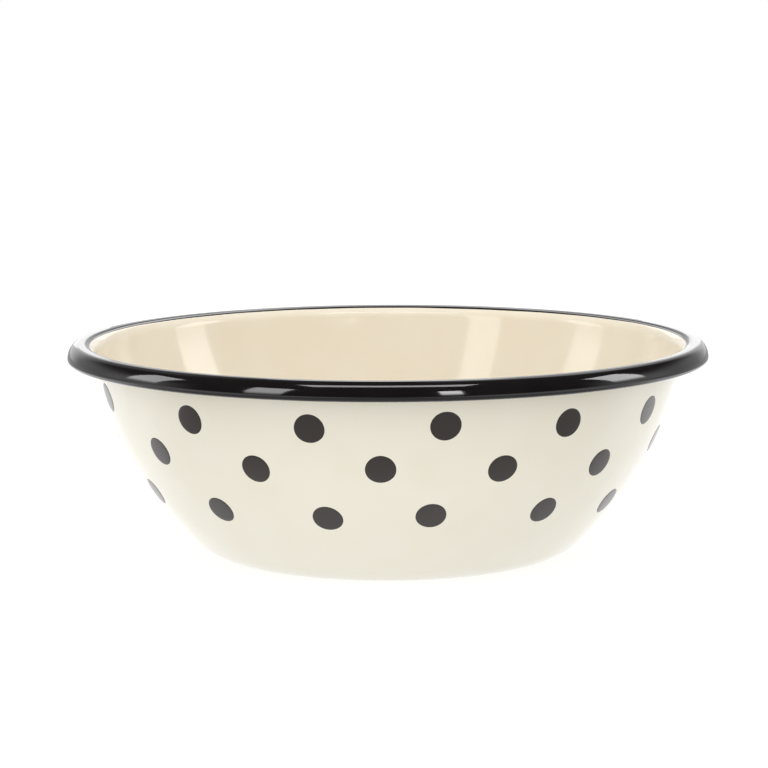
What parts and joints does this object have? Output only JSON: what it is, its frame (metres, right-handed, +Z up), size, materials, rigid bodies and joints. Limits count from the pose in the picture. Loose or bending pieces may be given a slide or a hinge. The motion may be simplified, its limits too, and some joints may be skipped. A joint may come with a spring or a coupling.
{
  "type": "enamel bowl",
  "caption": "Round enamelled steel bowl with flared sides, a flat base, a curled dark rim and rows of fired dots, for mixing and serving food.",
  "frame": {"origin": "centre of the flat base's underside, on the surface that the bowl stands on", "axes": "+Z up along the bowl's axis; -Y towards the picture's camera; +X to its right"},
  "size_m": [0.22, 0.22, 0.0735],
  "materials": {
    "steel": "cold-rolled enamelling steel, pickled dull",
    "ground_coat": "dark cobalt ground coat, glossy",
    "inside_cream": "warm cream vitreous enamel, glossy",
    "outside_cream": "cream vitreous enamel, satin gloss",
    "rim_black": "black vitreous enamel, glossy",
    "dot_charcoal": "charcoal fired dots, satin gloss"
  },
  "bodies": {
    "root": {"steel_shell": "steel", "inside_ground_coat": "ground_coat", "outside_ground_coat": "ground_coat", "inside_enamel": "inside_cream", "outside_enamel": "outside_cream", "rim_enamel": "rim_black", "upper_dots": "dot_charcoal", "middle_dots": "dot_charcoal", "lower_dots": "dot_charcoal"}
  },
  "joints": []
}
